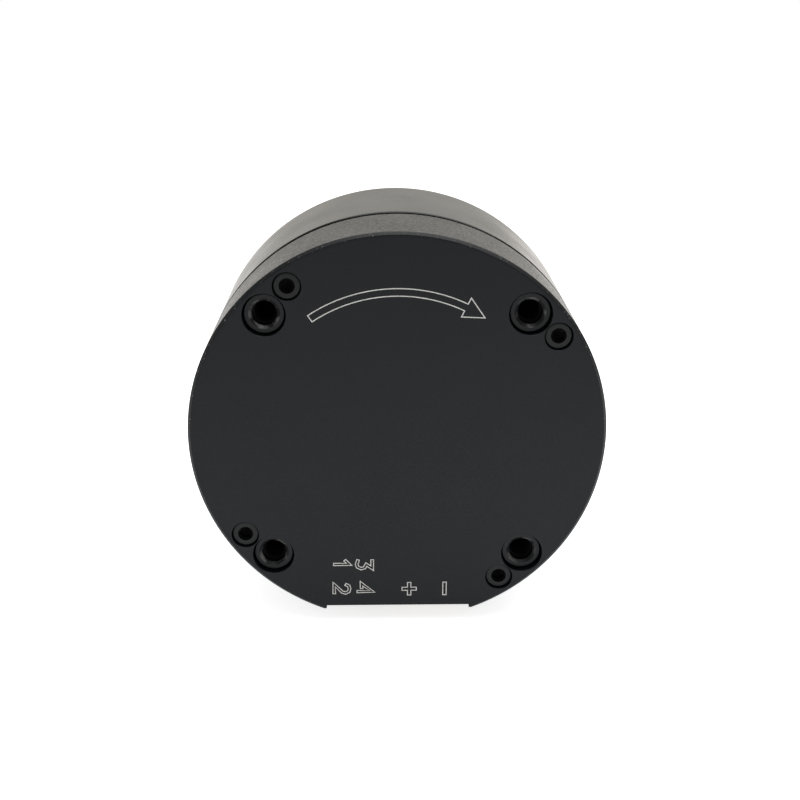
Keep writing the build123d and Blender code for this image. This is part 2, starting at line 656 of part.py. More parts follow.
with BuildPart() as board_screws:
    with BuildSketch(rear_view(board_rear)) as board_heads:
        with Locations(*board_screw_places):
            Circle(BOARD_SCREW_HEAD / 2)
    extrude(board_heads.sketch, amount=BOARD_SCREW_HEAD_HEIGHT)
    with BuildSketch(rear_view(board_rear)) as board_shanks:
        with Locations(*board_screw_places):
            Circle(BOARD_SCREW_DIAMETER / 2)
    extrude(board_shanks.sketch, amount=-BOARD_SCREW_LENGTH)
board_screws.part.label = "board_screws"
export_step(board_screws.part, "parts/board_screws.step")


# Chips and passive parts on the drive board
with BuildPart() as power_transistors:
    with BuildSketch(rear_view(board_rear)):
        with Locations((0, transistor_z)):
            with GridLocations(TRANSISTOR_PITCH_X, TRANSISTOR_PITCH_Z, 3, 2):
                Rectangle(TRANSISTOR[0], TRANSISTOR[1])
    extrude(amount=TRANSISTOR[2])
power_transistors.part.label = "power_transistors"
export_step(power_transistors.part, "parts/power_transistors.step")

with BuildPart() as thermal_pad:
    with BuildSketch(rear_view(pad_rear)):
        with Locations((0, transistor_z)):
            Rectangle(pad_length, pad_height)
    extrude(amount=-PAD_THICKNESS)
thermal_pad.part.label = "thermal_pad"
export_step(thermal_pad.part, "parts/thermal_pad.step")

with BuildPart() as shunt_resistors:
    with BuildSketch(rear_view(board_rear)):
        with Locations((0, SHUNT_Z)):
            with GridLocations(TRANSISTOR_PITCH_X, 1, 3, 1):
                Rectangle(SHUNT[0], SHUNT[1])
    extrude(amount=SHUNT[2])
shunt_resistors.part.label = "shunt_resistors"
export_step(shunt_resistors.part, "parts/shunt_resistors.step")

chips = (
    ("controller_chip", CONTROLLER_CHIP, (CONTROLLER_PLACE,), board_rear, False),
    ("gate_driver_chip", GATE_DRIVER, (GATE_DRIVER_PLACE,), board_rear, False),
    ("line_driver_chips", LINE_CHIP, LINE_CHIP_PLACES, board_rear, False),
    ("crystal", CRYSTAL, (CRYSTAL_PLACE,), board_rear, False),
    ("encoder_chip", ENCODER_CHIP, ((0, 0),), board_front, True),
)
for chip_name, chip_size, places, seat, forward in chips:
    with BuildPart() as chip:
        with BuildSketch(rear_view(seat)):
            with Locations(*places):
                Rectangle(chip_size[0], chip_size[1])
        extrude(amount=-chip_size[2] if forward else chip_size[2])
    chip.part.label = chip_name
    export_step(chip.part, f"parts/{chip_name}.step")

with BuildPart() as inductor:
    with BuildSketch(rear_view(board_rear)):
        with Locations(inductor_place):
            RectangleRounded(INDUCTOR[0], INDUCTOR[1], INDUCTOR_CORNER)
    extrude(amount=INDUCTOR[2])
inductor.part.label = "inductor"
export_step(inductor.part, "parts/inductor.step")

with BuildPart() as bulk_capacitors:
    with BuildSketch(rear_view(board_rear)):
        with Locations(*capacitor_places):
            Rectangle(CAPACITOR_FOOT, CAPACITOR_FOOT)
    extrude(amount=CAPACITOR_FOOT_HEIGHT)
    with BuildSketch(rear_view(board_rear)):
        with Locations(*capacitor_places):
            Circle(CAPACITOR_DIAMETER / 2)
    extrude(amount=CAPACITOR_HEIGHT)
    chamfer(faces().sort_by(Axis.Y)[: len(capacitor_places)].edges(), CAPACITOR_CHAMFER)
bulk_capacitors.part.label = "bulk_capacitors"
export_step(bulk_capacitors.part, "parts/bulk_capacitors.step")


# Power connector: a shell with two sloped corners, open towards the notch, and its two pins
power_mouth_z = notch_z + POWER_MOUTH_INSET
power_depth = board_rear - POWER_SHELL[1] / 2
with BuildPart() as power_pins:
    with BuildSketch(mouth_view(power_x, power_depth, power_mouth_z + PIN_INSET)):
        with GridLocations(POWER_PIN_PITCH, 1, 2, 1):
            Circle(POWER_PIN_DIAMETER / 2)
    extrude(amount=PIN_INSET - POWER_SHELL[2] - PIN_TAIL)
    # The tails turn down to the board behind the shell.
    with BuildSketch(rear_view(power_depth)):
        with Locations((power_x, power_mouth_z + POWER_SHELL[2])):
            with GridLocations(POWER_PIN_PITCH, 1, 2, 1):
                Rectangle(POWER_PIN_DIAMETER, PIN_TAIL, align=(Align.CENTER, Align.MIN))
    extrude(amount=power_depth - board_rear)
power_pins.part.label = "power_pins"
export_step(power_pins.part, "parts/power_pins.step")

with BuildPart() as power_connector:
    with BuildSketch(mouth_view(power_x, power_depth, power_mouth_z)) as power_outline:
        Rectangle(POWER_SHELL[0], POWER_SHELL[1])
        chamfer(power_outline.vertices().group_by(Axis.X)[-1], POWER_CHAMFER)
    extrude(amount=-POWER_SHELL[2])
    with BuildSketch(mouth_view(power_x, power_depth, power_mouth_z)):
        offset(power_outline.sketch_local, amount=-POWER_SHELL_WALL)
    extrude(amount=-POWER_CAVITY_DEPTH, mode=Mode.SUBTRACT)
    add(power_pins.part, mode=Mode.SUBTRACT)
power_connector.part.label = "power_connector"
export_step(power_connector.part, "parts/power_connector.step")


# Signal connector: a low shell with a keyway and a row of square pins
signal_mouth_z = notch_z + SIGNAL_MOUTH_INSET
signal_depth = board_rear - SIGNAL_SHELL[1] / 2
with BuildPart() as signal_pins:
    with BuildSketch(mouth_view(signal_x, signal_depth, signal_mouth_z + PIN_INSET)):
        with GridLocations(SIGNAL_PIN_PITCH, 1, SIGNAL_PIN_COUNT, 1):
            Rectangle(SIGNAL_PIN, SIGNAL_PIN)
    extrude(amount=PIN_INSET - SIGNAL_SHELL[2] - SIGNAL_PIN)
    with BuildSketch(rear_view(signal_depth - SIGNAL_PIN / 2)):
        with Locations((signal_x, signal_mouth_z + SIGNAL_SHELL[2])):
            with GridLocations(SIGNAL_PIN_PITCH, 1, SIGNAL_PIN_COUNT, 1):
                Rectangle(SIGNAL_PIN, SIGNAL_PIN, align=(Align.CENTER, Align.MIN))
    extrude(amount=signal_depth - SIGNAL_PIN / 2 - board_rear)
signal_pins.part.label = "signal_pins"
export_step(signal_pins.part, "parts/signal_pins.step")

with BuildPart() as signal_connector:
    with BuildSketch(mouth_view(signal_x, signal_depth, signal_mouth_z)):
        Rectangle(SIGNAL_SHELL[0], SIGNAL_SHELL[1])
    extrude(amount=-SIGNAL_SHELL[2])
    with BuildSketch(mouth_view(signal_x, signal_depth, signal_mouth_z)):
        Rectangle(SIGNAL_SHELL[0] - 2 * SIGNAL_SHELL_WALL, SIGNAL_SHELL[1] - 2 * SIGNAL_SHELL_WALL)
        with GridLocations(SIGNAL_SHELL[0] / 2, 1, 2, 1):
            Rectangle(SIGNAL_KEY_WIDTH, SIGNAL_SHELL[1], align=(Align.CENTER, Align.MIN))
    extrude(amount=-SIGNAL_CAVITY_DEPTH, mode=Mode.SUBTRACT)
    add(signal_pins.part, mode=Mode.SUBTRACT)
signal_connector.part.label = "signal_connector"
export_step(signal_connector.part, "parts/signal_connector.step")
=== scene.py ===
import json
from math import atan2, cos, pi, radians, sin, sqrt

import bmesh
import bpy
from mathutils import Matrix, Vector


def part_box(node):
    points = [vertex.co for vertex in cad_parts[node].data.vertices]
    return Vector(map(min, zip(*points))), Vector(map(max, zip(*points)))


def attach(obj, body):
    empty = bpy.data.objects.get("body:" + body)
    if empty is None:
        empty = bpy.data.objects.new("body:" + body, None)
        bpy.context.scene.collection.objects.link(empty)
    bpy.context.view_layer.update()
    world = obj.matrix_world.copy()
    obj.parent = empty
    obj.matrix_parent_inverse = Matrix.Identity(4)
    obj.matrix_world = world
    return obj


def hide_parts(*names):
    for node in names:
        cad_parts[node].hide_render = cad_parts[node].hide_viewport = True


# A direct drive servo motor, seen from behind and a little above.
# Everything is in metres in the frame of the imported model: the motor's axis lies along Y,
# the rear face is at Y = 0, X is to the right and Z is up for someone who looks at it.
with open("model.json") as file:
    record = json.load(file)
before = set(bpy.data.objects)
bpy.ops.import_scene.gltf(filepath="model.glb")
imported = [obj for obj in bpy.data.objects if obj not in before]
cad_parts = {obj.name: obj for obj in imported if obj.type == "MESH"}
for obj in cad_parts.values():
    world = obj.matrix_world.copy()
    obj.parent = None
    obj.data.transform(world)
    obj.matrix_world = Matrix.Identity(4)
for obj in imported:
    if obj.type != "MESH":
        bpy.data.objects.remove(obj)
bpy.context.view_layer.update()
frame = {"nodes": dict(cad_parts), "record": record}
nodes = frame["nodes"]
mounts = {mount["name"]: mount for mount in frame["record"]["mounts"]}
MM = 0.001

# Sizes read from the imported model
housing_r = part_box("rear_cover")[1].x
cover_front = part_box("rear_cover")[1].y
post_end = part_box("motor_base")[0].y
bell_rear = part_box("rotor_bell")[0].y
output_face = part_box("rotor_bell")[1].y
bell_inner_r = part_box("back_iron_ring")[1].x
bell_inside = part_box("back_iron_ring")[1].y
spigot_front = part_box("shaft")[1].y
head_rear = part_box("cover_screws")[0].y
screw_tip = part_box("cover_screws")[1].y
rotor_screw_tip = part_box("rotor_screws")[0].y
post_circle = mounts["rear_bolts"]["dims"]["pcd_mm"] * MM / 2
output_circle = mounts["output_bolts"]["dims"]["pcd_mm"] * MM / 2
output_count = mounts["output_bolts"]["dims"]["count"]
output_hole_r = mounts["output_bolts"]["dims"]["hole_r_mm"] * MM
pilot_r = mounts["output_pilot"]["dims"]["r_mm"] * MM
pilot_floor = output_face - mounts["output_pilot"]["dims"]["length_mm"] * MM

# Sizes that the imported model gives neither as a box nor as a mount.
# Round ones are radii unless the name says otherwise.
COVER_WALL = 1.3 * MM
COVER_PLATE = 2.2 * MM
BASE_PLATE = 2.9 * MM
EDGE_CHAMFER = 0.5 * MM
EDGE_BREAK = 0.2 * MM
EDGE_ROUND = 0.06 * MM
NOTCH_HALF = 12.5 * MM
PRONG_HEIGHT = 1.1 * MM
PRONG_ROUND = 0.5 * MM
HOLE_COUNT = 4
HOLE_BREAK = 0.05 * MM
POST_HOLE = 3.55 * MM
POST_ANGLE = 45.0
SCREW_CIRCLE = 31.6 * MM
SCREW_ANGLE = 34.0
SCREW_COUNTERBORE = 2.35 * MM
SCREW_HEAD = 2.25 * MM
SCREW_HEAD_HEIGHT = 2.5 * MM
SCREW_SHANK = 1.25 * MM
SCREW_CLEARANCE = 1.35 * MM
SCREW_BOSS = 3.0 * MM
HEAD_ROUND = 0.35 * MM
SOCKET_FLATS = 2.0 * MM
SOCKET_DEPTH = 1.3 * MM
SOCKET_MOUTH = 1.3 * MM
SOCKET_SLOPE = 0.12
SOCKET_LEAD_SHARE = 0.42
SOCKET_DRILL_SHARE = 0.48
SOCKET_FIRST_TURN = 20
SOCKET_NEXT_TURN = 23
TIP_CHAMFER = 0.2 * MM
SPIGOT = 7.0 * MM
ROTOR_SCREW_CIRCLE = 10.7 * MM
ROTOR_SCREW_COUNT = 6
ROTOR_SCREW_MOUTH = 2.35 * MM
ROTOR_SCREW_HEAD_HEIGHT = 1.1 * MM
ROTOR_SOCKET_FLATS = 1.5 * MM
ROTOR_SOCKET_DEPTH = 0.8 * MM
ROTOR_SOCKET_MOUTH = 0.65 * ROTOR_SOCKET_FLATS
ROTOR_SCREW_GAP = 0.03 * MM
OUTPUT_MOUTH = 1.6 * MM
OVER = 0.5 * MM

# Threads, as (crest radius, root radius, pitch)
POST_THREAD = (1.7 * MM, 2.05 * MM, 0.7 * MM)
POST_THREAD_DEPTH = 9.3 * MM
POST_LEAD = 1.4 * MM
POST_LEAD_RADIUS = 2.1 * MM
OUTPUT_THREAD = (1.25 * MM, 1.52 * MM, 0.5 * MM)

# Segments round a turned piece, a hole and a thread, the rows in one turn of a thread,
# and the distance in metres below which two points of a mesh are one
FINE = 256
HOLE_SEGMENTS = 72
THREAD_SEGMENTS = 48
THREAD_ROWS = 8
MERGE_DISTANCE = 1e-8


def ring_places(radius, count, start):
    """Places round the motor's axis, as (x, z), with the start angle in degrees from +X."""
    angles = [radians(start) + 2 * pi * step / count for step in range(count)]
    return [(radius * cos(angle), radius * sin(angle)) for angle in angles]


def softened(outline, radius, steps=3):
    """The same open outline with each inner corner rounded."""
    rounded = [outline[0]]
    for before, corner, after in zip(outline, outline[1:], outline[2:]):
        here = Vector(corner)
        back = Vector(before) - here
        ahead = Vector(after) - here
        reach = min(radius, 0.4 * back.length, 0.4 * ahead.length)
        start = here + back.normalized() * reach
        end = here + ahead.normalized() * reach
        for step in range(steps + 1):
            share = step / steps
            point = start * (1 - share) ** 2 + here * 2 * share * (1 - share) + end * share**2
            rounded.append(tuple(point))
    rounded.append(outline[-1])
    return rounded


def piece_from(name, bm):
    """A new object made of a finished bmesh, with its faces turned outward."""
    bmesh.ops.remove_doubles(bm, verts=bm.verts, dist=MERGE_DISTANCE)
    bmesh.ops.recalc_face_normals(bm, faces=bm.faces)
    mesh = bpy.data.meshes.new(name)
    bm.to_mesh(mesh)
    bm.free()
    piece = bpy.data.objects.new(name, mesh)
    bpy.context.scene.collection.objects.link(piece)
    return piece


def add_turned(bm, profile, centre=(0, 0), segments=FINE, wave=None):
    """Turns a profile of (radius, depth) about an axis along Y and closes both ends with a cap.

    A wave gives each point's radius from its own radius, its depth and its angle.
    """
    rings = []
    for radius, depth in profile:
        ring = []
        for step in range(segments):
            angle = 2 * pi * step / segments
            reach = wave(radius, depth, angle) if wave else radius
            point = (centre[0] + reach * cos(angle), depth, centre[1] + reach * sin(angle))
            ring.append(bm.verts.new(point))
        rings.append(ring)
    for near, far in zip(rings, rings[1:]):
        for step in range(segments):
            after = (step + 1) % segments
            bm.faces.new((near[step], near[after], far[after], far[step]))
    bm.faces.new(rings[0])
    bm.faces.new(rings[-1])


def turned(name, profile, places=((0, 0),), segments=FINE, wave=None):
    """One object of a turned solid at each place."""
    bm = bmesh.new()
    for place in places:
        add_turned(bm, profile, place, segments, wave)
    return piece_from(name, bm)


def add_prism(bm, outline, rear, front):
    """A prism along Y over an outline of (x, z) points."""
    rear_ring = [bm.verts.new((x, rear, z)) for x, z in outline]
    front_ring = [bm.verts.new((x, front, z)) for x, z in outline]
    bm.faces.new(rear_ring)
    bm.faces.new(front_ring)
    for step in range(len(outline)):
        after = (step + 1) % len(outline)
        bm.faces.new((rear_ring[step], rear_ring[after], front_ring[after], front_ring[step]))


def carve(piece, cutter, operation="DIFFERENCE"):
    """Cuts one object with another for good, and removes the cutter."""
    cut = piece.modifiers.new("cut", "BOOLEAN")
    cut.operation = operation
    cut.solver = "EXACT"
    cut.material_mode = "TRANSFER"
    cut.object = cutter
    view_layer = bpy.context.view_layer
    view_layer.update()
    made = bpy.data.meshes.new_from_object(piece.evaluated_get(bpy.context.evaluated_depsgraph_get()))
    piece.modifiers.clear()
    piece.data = made
    bpy.data.objects.remove(cutter)
    return piece


def polish(piece, sharp_angle=32.0):
    """Smooth shading between sharp edges, with the flat faces kept flat."""
    piece.data.shade_smooth()
    piece.data.set_sharp_from_angle(angle=radians(sharp_angle))
    weighted = piece.modifiers.new("weighted", "WEIGHTED_NORMAL")
    weighted.keep_sharp = True
    weighted.weight = 80
    return piece


def replace_node(piece, node, body):
    """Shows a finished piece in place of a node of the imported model."""
    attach(piece, body)
    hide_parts(node)
    return piece


# Materials. Each one is made of nodes on coordinates that move with its piece.


def shader(name):
    """A new material with its tree, its main shader and its object coordinates."""
    made = bpy.data.materials.new(name)
    made.use_nodes = True
    tree = made.node_tree
    main = tree.nodes["Principled BSDF"]
    coordinates = tree.nodes.new("ShaderNodeTexCoord").outputs["Object"]
    return made, tree, main, coordinates


def noise(tree, coordinates, grain, detail=2.0):
    """A noise whose grain is about the given size in metres."""
    texture = tree.nodes.new("ShaderNodeTexNoise")
    texture.inputs["Scale"].default_value = 1 / grain
    texture.inputs["Detail"].default_value = detail
    tree.links.new(coordinates, texture.inputs["Vector"])
    return texture.outputs["Fac"]


def mapped(tree, value, low, high, to_low, to_high):
    """A value moved from one range to another and held inside it."""
    node = tree.nodes.new("ShaderNodeMapRange")
    tree.links.new(value, node.inputs["Value"])
    node.inputs["From Min"].default_value = low
    node.inputs["From Max"].default_value = high
    node.inputs["To Min"].default_value = to_low
    node.inputs["To Max"].default_value = to_high
    return node.outputs["Result"]


def blended(tree, share, first, second):
    """Two colours mixed by a share. Either one may be a colour or a socket."""
    node = tree.nodes.new("ShaderNodeMix")
    node.data_type = "RGBA"
    tree.links.new(share, node.inputs["Factor"])
    for socket, colour in ((node.inputs["A"], first), (node.inputs["B"], second)):
        if isinstance(colour, bpy.types.NodeSocket):
            tree.links.new(colour, socket)
        else:
            socket.default_value = (*colour, 1)
    return node.outputs["Result"]


def combined(tree, operation, first, second):
    """One value made of two sockets."""
    node = tree.nodes.new("ShaderNodeMath")
    node.operation = operation
    tree.links.new(first, node.inputs[0])
    tree.links.new(second, node.inputs[1])
    return node.outputs["Value"]


def bumped(tree, main, height, distance):
    """Gives a shader its relief from a height."""
    bump = tree.nodes.new("ShaderNodeBump")
    bump.inputs["Distance"].default_value = distance
    tree.links.new(height, bump.inputs["Height"])
    tree.links.new(bump.outputs["Normal"], main.inputs["Normal"])


# The range that most of a noise lies in, and how far it shifts the colour and the sheen of a plain material
NOISE_LOW = 0.3
NOISE_HIGH = 0.7
COLOUR_SHIFT = 0.25
SHEEN_SHIFT = 0.15
SLOW_TO_FINE = 12


def plain_material(name, colour, roughness, metallic=0.0, grain=0.3 * MM, relief=0.002 * MM, ior=1.5):
    """A material with fine grain, a slow change of colour and an uneven sheen."""
    made, tree, main, coordinates = shader(name)
    slow = noise(tree, coordinates, SLOW_TO_FINE * grain, 3.0)
    fine = noise(tree, coordinates, grain)
    darker = tuple(channel * (1 - COLOUR_SHIFT) for channel in colour)
    lighter = tuple(min(1, channel * (1 + COLOUR_SHIFT)) for channel in colour)
    tree.links.new(blended(tree, slow, darker, lighter), main.inputs["Base Color"])
    smooth, rough = roughness * (1 - SHEEN_SHIFT), roughness * (1 + SHEEN_SHIFT)
    tree.links.new(mapped(tree, slow, NOISE_LOW, NOISE_HIGH, smooth, rough), main.inputs["Roughness"])
    main.inputs["Metallic"].default_value = metallic
    main.inputs["IOR"].default_value = ior
    bumped(tree, main, fine, relief)
    return made


ANODISED_IOR = 1.42
BARE_ALUMINIUM = (0.55, 0.53, 0.50)
# Colour of the lighter edge bands: rubbed finish, and a painted highlight along the edges
RUB_AND_HIGHLIGHT = (0.07, 0.07, 0.068)
ANODISED_CONTRAST = 0.65
SLOW_GRAIN = 9 * MM
SLOW_SHEEN = 0.03
MOTTLE_GRAIN = 0.45 * MM
NICK_GRAIN = 0.45 * MM
NICK_START = 0.64
NICK_FULL = 0.72
NICK_SHARE = 0.4
RUB_AND_HIGHLIGHT_WIDTH = 0.22 * MM
RUB_AND_HIGHLIGHT_SHARE = 0.55


def anodised_material(name, colour, roughness, wall_roughness, relief, mottle, turning=0.0, rub_and_highlight_depths=()):
    """Black anodised aluminium with blasted grain, turning marks, nicks along the rim, and edges painted
    lighter, as rubbed finish and as painted highlight.
    """
    made, tree, main, coordinates = shader(name)
    separate = tree.nodes.new("ShaderNodeSeparateXYZ")
    tree.links.new(coordinates, separate.inputs["Vector"])
    depth = separate.outputs["Y"]
    flat = tree.nodes.new("ShaderNodeCombineXYZ")
    tree.links.new(separate.outputs["X"], flat.inputs["X"])
    tree.links.new(separate.outputs["Z"], flat.inputs["Y"])
    length = tree.nodes.new("ShaderNodeVectorMath")
    length.operation = "LENGTH"
    tree.links.new(flat.outputs["Vector"], length.inputs[0])
    across = length.outputs["Value"]
    slow = noise(tree, coordinates, SLOW_GRAIN, 4.0)
    mottled = noise(tree, coordinates, MOTTLE_GRAIN, 3.0)
    fine = noise(tree, coordinates, 0.4 * MOTTLE_GRAIN, 1.0)
    slow_share = mapped(tree, slow, NOISE_LOW, NOISE_HIGH, 0, 0.3)
    mottled_share = mapped(tree, mottled, 0.35, 0.65, 0, 0.7)
    uneven = combined(tree, "ADD", slow_share, mottled_share)
    darker = tuple(channel * (1 - ANODISED_CONTRAST) for channel in colour)
    lighter = tuple(channel * (1 + ANODISED_CONTRAST) for channel in colour)
    base = blended(tree, uneven, darker, lighter)
    # A thin lighter band on the outer wall at each edge: partly finish rubbed thin, partly a painted
    # highlight for the light the edge catches.
    on_wall = mapped(tree, across, housing_r - 0.6 * EDGE_BREAK, housing_r - 0.1 * EDGE_BREAK, 0, RUB_AND_HIGHLIGHT_SHARE)
    for near, far in rub_and_highlight_depths:
        band = combined(tree, "MULTIPLY", on_wall, mapped(tree, depth, near, far, 1, 0))
        patches = mapped(tree, mottled, 0.3, 0.6, 0.3, 1)
        base = blended(tree, combined(tree, "MULTIPLY", band, patches), base, RUB_AND_HIGHLIGHT)
    # Nicks lie on the outer corners at the rear and at the output face.
    near_rim = mapped(tree, across, housing_r - 1.3 * EDGE_CHAMFER, housing_r - EDGE_CHAMFER, 0, 1)
    rear_corner = mapped(tree, depth, 0, 1.6 * EDGE_CHAMFER, 1, 0)
    front_corner = mapped(tree, depth, output_face - 1.6 * EDGE_CHAMFER, output_face, 0, 1)
    corner = combined(tree, "MULTIPLY", near_rim, combined(tree, "MAXIMUM", rear_corner, front_corner))
    nicks = mapped(tree, noise(tree, coordinates, NICK_GRAIN, 3.0), NICK_START, NICK_FULL, 0, NICK_SHARE)
    worn = combined(tree, "MULTIPLY", corner, nicks)
    tree.links.new(blended(tree, worn, base, BARE_ALUMINIUM), main.inputs["Base Color"])
    slow_sheen = mapped(tree, slow, NOISE_LOW, NOISE_HIGH, -SLOW_SHEEN, SLOW_SHEEN)
    mottled_sheen = mapped(tree, mottled, NOISE_LOW, NOISE_HIGH, -mottle, mottle)
    sheen = combined(tree, "ADD", slow_sheen, mottled_sheen)
    # The turned wall is smoother than the blasted faces.
    wall_start, wall_full = housing_r - EDGE_BREAK, housing_r - 0.5 * EDGE_BREAK
    wall = mapped(tree, across, wall_start, wall_full, roughness, wall_roughness)
    tree.links.new(combined(tree, "ADD", wall, sheen), main.inputs["Roughness"])
    main.inputs["IOR"].default_value = ANODISED_IOR
    height = combined(tree, "ADD", fine, mottled)
    if turning:
        # Turning marks are rings, so they follow the distance from the axis and the depth alone.
        rings = tree.nodes.new("ShaderNodeCombineXYZ")
        tree.links.new(across, rings.inputs["X"])
        tree.links.new(depth, rings.inputs["Y"])
        height = combined(tree, "ADD", height, noise(tree, rings.outputs["Vector"], turning, 1.0))
    bumped(tree, main, height, relief)
    return made


# Dark finish of the mouth, then the lighter colour of its patches: rubbed finish and painted highlight at
# once
MOUTH_FINISH = (0.01, 0.01, 0.011)
MOUTH_RUB_AND_HIGHLIGHT = (0.13, 0.127, 0.122)
MOUTH_PATCH = 2.2 * MM
MOUTH_GRAIN = 0.2 * MM
MOUTH_RELIEF = 0.004 * MM


def worn_and_highlight_mouth_material():
    """The mouth of a tapped hole, lighter in patches: finish rubbed thin by screws, and a painted highlight
    for the light its edge catches.
    """
    made, tree, main, coordinates = shader("worn_and_highlight_mouth")
    patches = mapped(tree, noise(tree, coordinates, MOUTH_PATCH, 3.0), 0.5, 0.66, 0, 1)
    tree.links.new(blended(tree, patches, MOUTH_FINISH, MOUTH_RUB_AND_HIGHLIGHT), main.inputs["Base Color"])
    tree.links.new(mapped(tree, patches, 0, 1, 0.45, 0.3), main.inputs["Roughness"])
    main.inputs["IOR"].default_value = ANODISED_IOR
    bumped(tree, main, noise(tree, coordinates, MOUTH_GRAIN), MOUTH_RELIEF)
    return made


# Depths of the lighter bands by the rear chamfer and the front edge of the cover, painted highlights that are
# also rubbed finish
REAR_RUB_AND_HIGHLIGHT = (EDGE_CHAMFER + 0.3 * RUB_AND_HIGHLIGHT_WIDTH, EDGE_CHAMFER + 1.3 * RUB_AND_HIGHLIGHT_WIDTH)
FRONT_RUB_AND_HIGHLIGHT = (cover_front - EDGE_BREAK - 0.3 * RUB_AND_HIGHLIGHT_WIDTH, cover_front - EDGE_BREAK - 1.6 * RUB_AND_HIGHLIGHT_WIDTH)
BLACK_OXIDE_IOR = 1.42
# Low refraction for the painted shade inside bores, so that they reflect little and look shaded
PAINTED_SHADE_BORE_IOR = 1.25
TURNING_GRAIN = 0.22 * MM
materials = {
    "cover_anodised": anodised_material(
        "cover_anodised",
        (0.002, 0.003, 0.005),
        roughness=0.45,
        wall_roughness=0.34,
        relief=0.010 * MM,
        mottle=0.1,
        rub_and_highlight_depths=(REAR_RUB_AND_HIGHLIGHT, FRONT_RUB_AND_HIGHLIGHT),
    ),
    "base_anodised": anodised_material(
        "base_anodised",
        (0.006, 0.007, 0.0085),
        roughness=0.42,
        wall_roughness=0.42,
        relief=0.005 * MM,
        mottle=0.04,
    ),
    "bell_anodised": anodised_material(
        "bell_anodised",
        (0.006, 0.0062, 0.0065),
        roughness=0.36,
        wall_roughness=0.24,
        relief=0.002 * MM,
        mottle=0.015,
        turning=TURNING_GRAIN,
    ),
    "worn_and_highlight_mouth": worn_and_highlight_mouth_material(),
}

# Plain finishes: colour and roughness, then share of metal, grain, relief and refraction where they are given
PLAIN_FINISHES = {
    "black_steel": ((0.008, 0.0084, 0.009), 0.4, 0.0, 0.12 * MM, 0.003 * MM, BLACK_OXIDE_IOR),
    "engraved": ((0.8, 0.79, 0.77), 0.6, 0.0, 0.08 * MM, 0.004 * MM),
    # painted shade: a near-black finish inside sockets, drills and tapped holes, for the shadow in them
    "painted_shade_bore": ((0.003, 0.003, 0.0032), 0.7, 0.0, 0.1 * MM, 0.004 * MM, PAINTED_SHADE_BORE_IOR),
    "lamination": ((0.10, 0.10, 0.105), 0.45, 0.8),
    "insulator": ((0.75, 0.74, 0.70), 0.5),
    "copper": ((0.38, 0.12, 0.045), 0.35, 0.8),
    "bearing_steel": ((0.55, 0.55, 0.56), 0.15, 1.0),
    "shield_steel": ((0.5, 0.5, 0.5), 0.3, 1.0),
    "cage_polymer": ((0.55, 0.45, 0.3), 0.5),
    "shaft_steel": ((0.45, 0.45, 0.46), 0.25, 1.0),
    "brass": ((0.7, 0.5, 0.2), 0.3, 1.0),
    "nickel": ((0.6, 0.58, 0.54), 0.22, 1.0),
    "board": ((0.02, 0.06, 0.03), 0.35),
    "chip": ((0.02, 0.02, 0.022), 0.5),
    "ferrite": ((0.05, 0.05, 0.05), 0.6),
    "capacitor": ((0.6, 0.6, 0.6), 0.35, 1.0),
    "pad": ((0.45, 0.5, 0.6), 0.7),
    "gold": ((0.85, 0.6, 0.25), 0.25, 1.0),
    "power_plastic": ((0.75, 0.55, 0.05), 0.4),
    "signal_plastic": ((0.75, 0.73, 0.66), 0.45),
}
for slot, finish in PLAIN_FINISHES.items():
    materials[slot] = plain_material(slot, *finish)

for node in nodes.values():
    for place in node.material_slots:
        place.material = materials[place.material.name.split(".")[0]]


def dressed(piece, slot):
    """Gives a piece its material, beside any that a cut has brought to it."""
    piece.data.materials.clear()
    piece.data.materials.append(materials[slot])
    return piece


# Rear cover: a turned cup, with its holes, its sunk screw seats and the notch cut out of it


# How far past the rim the notch's outline goes, as a share of its last point's distance from the axis
NOTCH_REACH = 1.3
PRONG_STEPS = 8


def notch_outline(top):
    """The notch's outline, from a flat at the given height down past the rim, with rounded prongs."""
    centre_x = NOTCH_HALF + PRONG_ROUND
    centre_z = -sqrt((housing_r - PRONG_ROUND) ** 2 - centre_x**2)
    end_turn = atan2(-centre_z, centre_x)
    right = [(NOTCH_HALF, top)]
    for step in range(PRONG_STEPS + 1):
        turn = pi + (pi - end_turn) * step / PRONG_STEPS
        right.append((centre_x + PRONG_ROUND * cos(turn), centre_z + PRONG_ROUND * sin(turn)))
    right.append((right[-1][0] * NOTCH_REACH, right[-1][1] * NOTCH_REACH))
    left = [(-x, z) for x, z in reversed(right)]
    return right + left


def notch_cutter():
    """The flat across the plate, and the taller opening through the wall in front of it."""
    flat_z = PRONG_HEIGHT - sqrt(housing_r**2 - NOTCH_HALF**2)
    bm = bmesh.new()
    add_prism(bm, notch_outline(flat_z), -MM, cover_front + MM)
    cutter = piece_from("notch_cutter", bm)
    bm = bmesh.new()
    add_prism(bm, notch_outline(flat_z + COVER_WALL), COVER_PLATE, cover_front + 2 * MM)
    return carve(cutter, piece_from("notch_opening", bm), "UNION")


ENGRAVED_LINE = 0.16 * MM
ENGRAVED_DEPTH = 0.10 * MM
ENGRAVED_OVER = 0.02 * MM
MITRE_LIMIT = 0.35


def offset_corners(points, closed, reach):
    """Each point moved sideways by the reach, with the corners mitred."""
    moved = []
    count = len(points)
    for step, point in enumerate(points):
        here = Vector(point)
        before = here - Vector(points[step - 1])
        after = Vector(points[(step + 1) % count]) - here
        if not closed and step == 0:
            before = after
        if not closed and step == count - 1:
            after = before
        before, after = before.normalized(), after.normalized()
        side = Vector((-before.y - after.y, before.x + after.x)) / max(MITRE_LIMIT, 1 + before.dot(after))
        moved.append(here + side * reach)
    return moved


